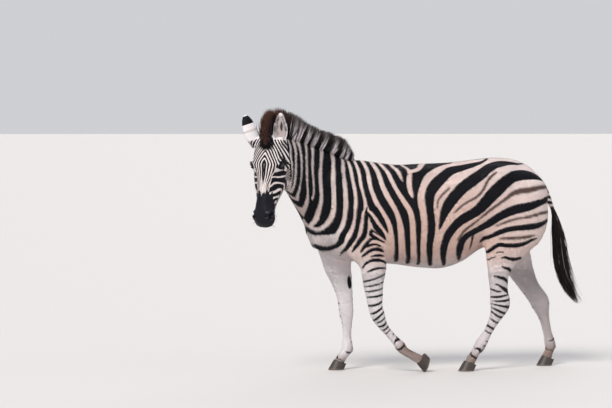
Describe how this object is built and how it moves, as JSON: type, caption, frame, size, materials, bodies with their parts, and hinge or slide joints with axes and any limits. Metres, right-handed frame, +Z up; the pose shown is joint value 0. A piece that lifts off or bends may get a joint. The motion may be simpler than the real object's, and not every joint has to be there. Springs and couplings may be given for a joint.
{
  "type": "zebra",
  "caption": "Life-size still model of a plains zebra in mid-walk, head turned to its left, with upright mane and hanging tail.",
  "frame": {"origin": "on the floor, below the middle of the bounding box", "axes": "+Z up, nose towards -X, tail towards +X, the animal's left side towards -Y"},
  "size_m": [2.1878, 0.5722, 1.6421],
  "materials": {
    "coat": "short flat hair, black stripes on a pale ground",
    "mane_hair": "coarse upright or hanging hair, dark at its tips",
    "eye": "wet and glossy, dark brown",
    "hoof_horn": "dull grey-black horn with fine growth rings"
  },
  "bodies": {
    "root": {"head": "coat", "neck": "coat", "trunk": "coat", "tail": "coat", "foreleg_left_upper": "coat", "foreleg_left_lower": "coat", "foreleg_right_upper": "coat", "foreleg_right_lower": "coat", "hindleg_left_upper": "coat", "hindleg_left_lower": "coat", "hindleg_right_upper": "coat", "hindleg_right_lower": "coat", "ear_left": "coat", "ear_right": "coat", "mane": "mane_hair", "tail_tuft": "mane_hair", "eye_left": "eye", "eye_right": "eye", "hoof_fore_left": "hoof_horn", "hoof_fore_right": "hoof_horn", "hoof_hind_left": "hoof_horn", "hoof_hind_right": "hoof_horn"}
  },
  "joints": []
}
